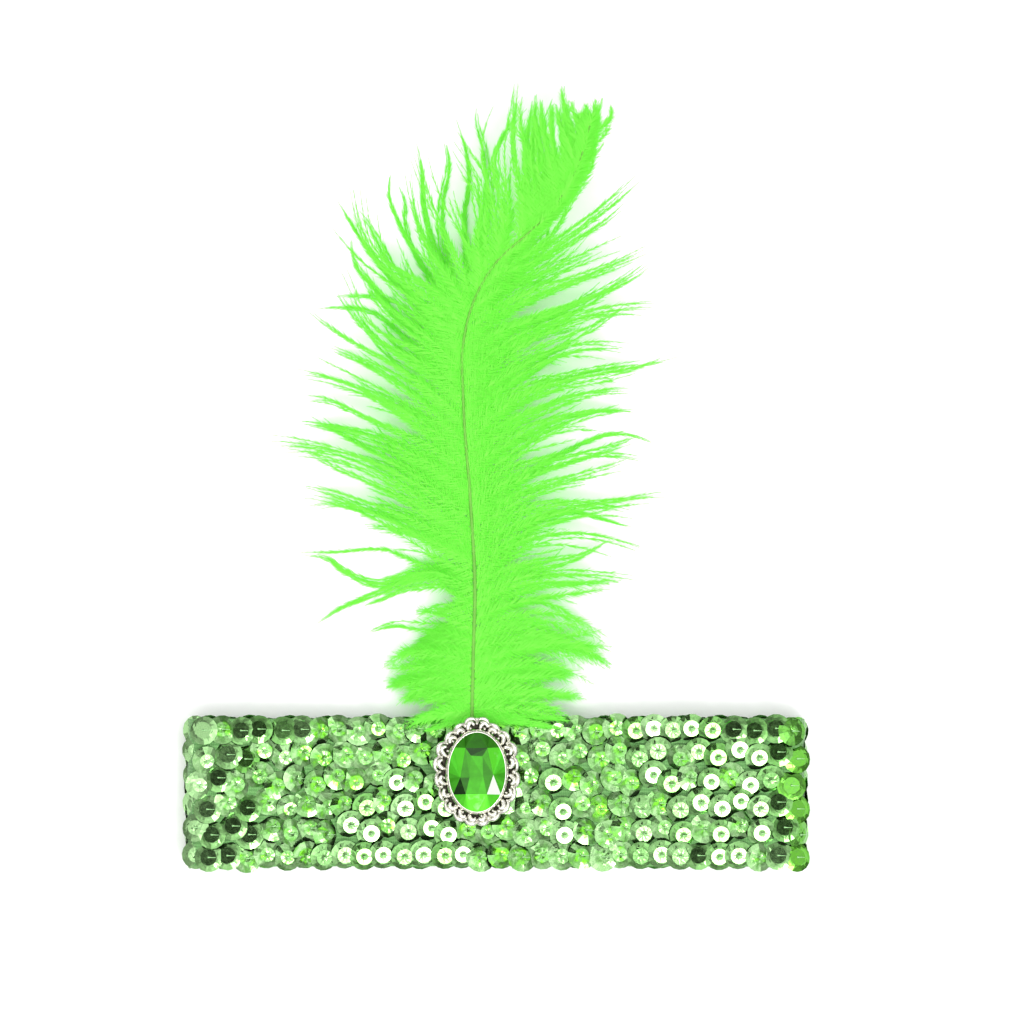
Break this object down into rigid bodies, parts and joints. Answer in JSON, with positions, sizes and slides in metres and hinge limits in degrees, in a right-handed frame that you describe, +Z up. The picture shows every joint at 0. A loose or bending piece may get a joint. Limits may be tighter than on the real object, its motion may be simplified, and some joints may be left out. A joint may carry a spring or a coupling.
{
  "type": "feather headband",
  "caption": "Loop of sequinned stretch elastic lying flat, with a faceted oval stone in a cast setting on its front and an ostrich plume that stands out from behind the stone.",
  "frame": {"origin": "bottom centre of the headband's outline, on the surface that it lies on", "axes": "+X along the band, to the right as seen from its front; +Y towards the plume's tip; +Z up, out of the band's front"},
  "size_m": [0.197, 0.242, 0.0355],
  "materials": {
    "elastic": "knitted elastic",
    "sequins": "metallised, mirror gloss",
    "felt": "felted",
    "setting_metal": "cast and plated, worn",
    "stone": "faceted, foil backed",
    "plume": "dyed feather, matt"
  },
  "bodies": {
    "root": {"elastic_loop": "elastic", "sequin_row_1": "sequins", "sequin_row_2": "sequins", "sequin_row_3": "sequins", "sequin_row_4": "sequins", "sequin_row_5": "sequins", "sequin_row_6": "sequins", "fixing_pad": "felt", "setting": "setting_metal", "stone": "stone", "ostrich_plume": "plume"}
  },
  "joints": []
}
